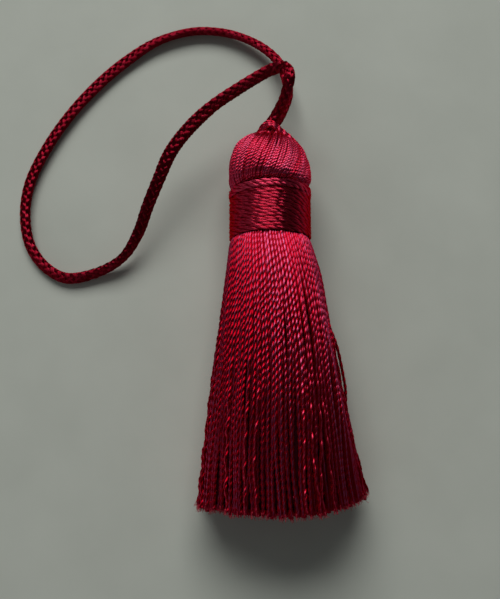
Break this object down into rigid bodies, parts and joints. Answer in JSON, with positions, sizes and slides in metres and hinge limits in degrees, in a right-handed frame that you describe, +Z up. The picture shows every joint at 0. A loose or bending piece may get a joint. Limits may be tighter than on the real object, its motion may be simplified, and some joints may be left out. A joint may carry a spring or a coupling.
{
  "type": "silk tassel",
  "caption": "Silk tassel with a rounded head, a wound neck binding, a full skirt of cut twisted strands and a braided hanging loop, lying on its back.",
  "frame": {"origin": "middle of the footprint of the hank and its binding, on the surface the tassel lies on", "axes": "+Y along the tassel from its cut ends to its head, +Z up from the surface, +X to the right of someone who looks down on it with the head away"},
  "size_m": [0.0668, 0.0961, 0.0188],
  "materials": {
    "twisted_strand": "crimson silk strand, two plies twisted, high sheen",
    "binding_silk": "crimson silk thread, wound close, high sheen",
    "braided_cord": "crimson silk cord, fine round braid, soft sheen"
  },
  "bodies": {
    "root": {"strand_hank": "twisted_strand", "neck_binding": "binding_silk", "cord_loop": "braided_cord"}
  },
  "joints": []
}
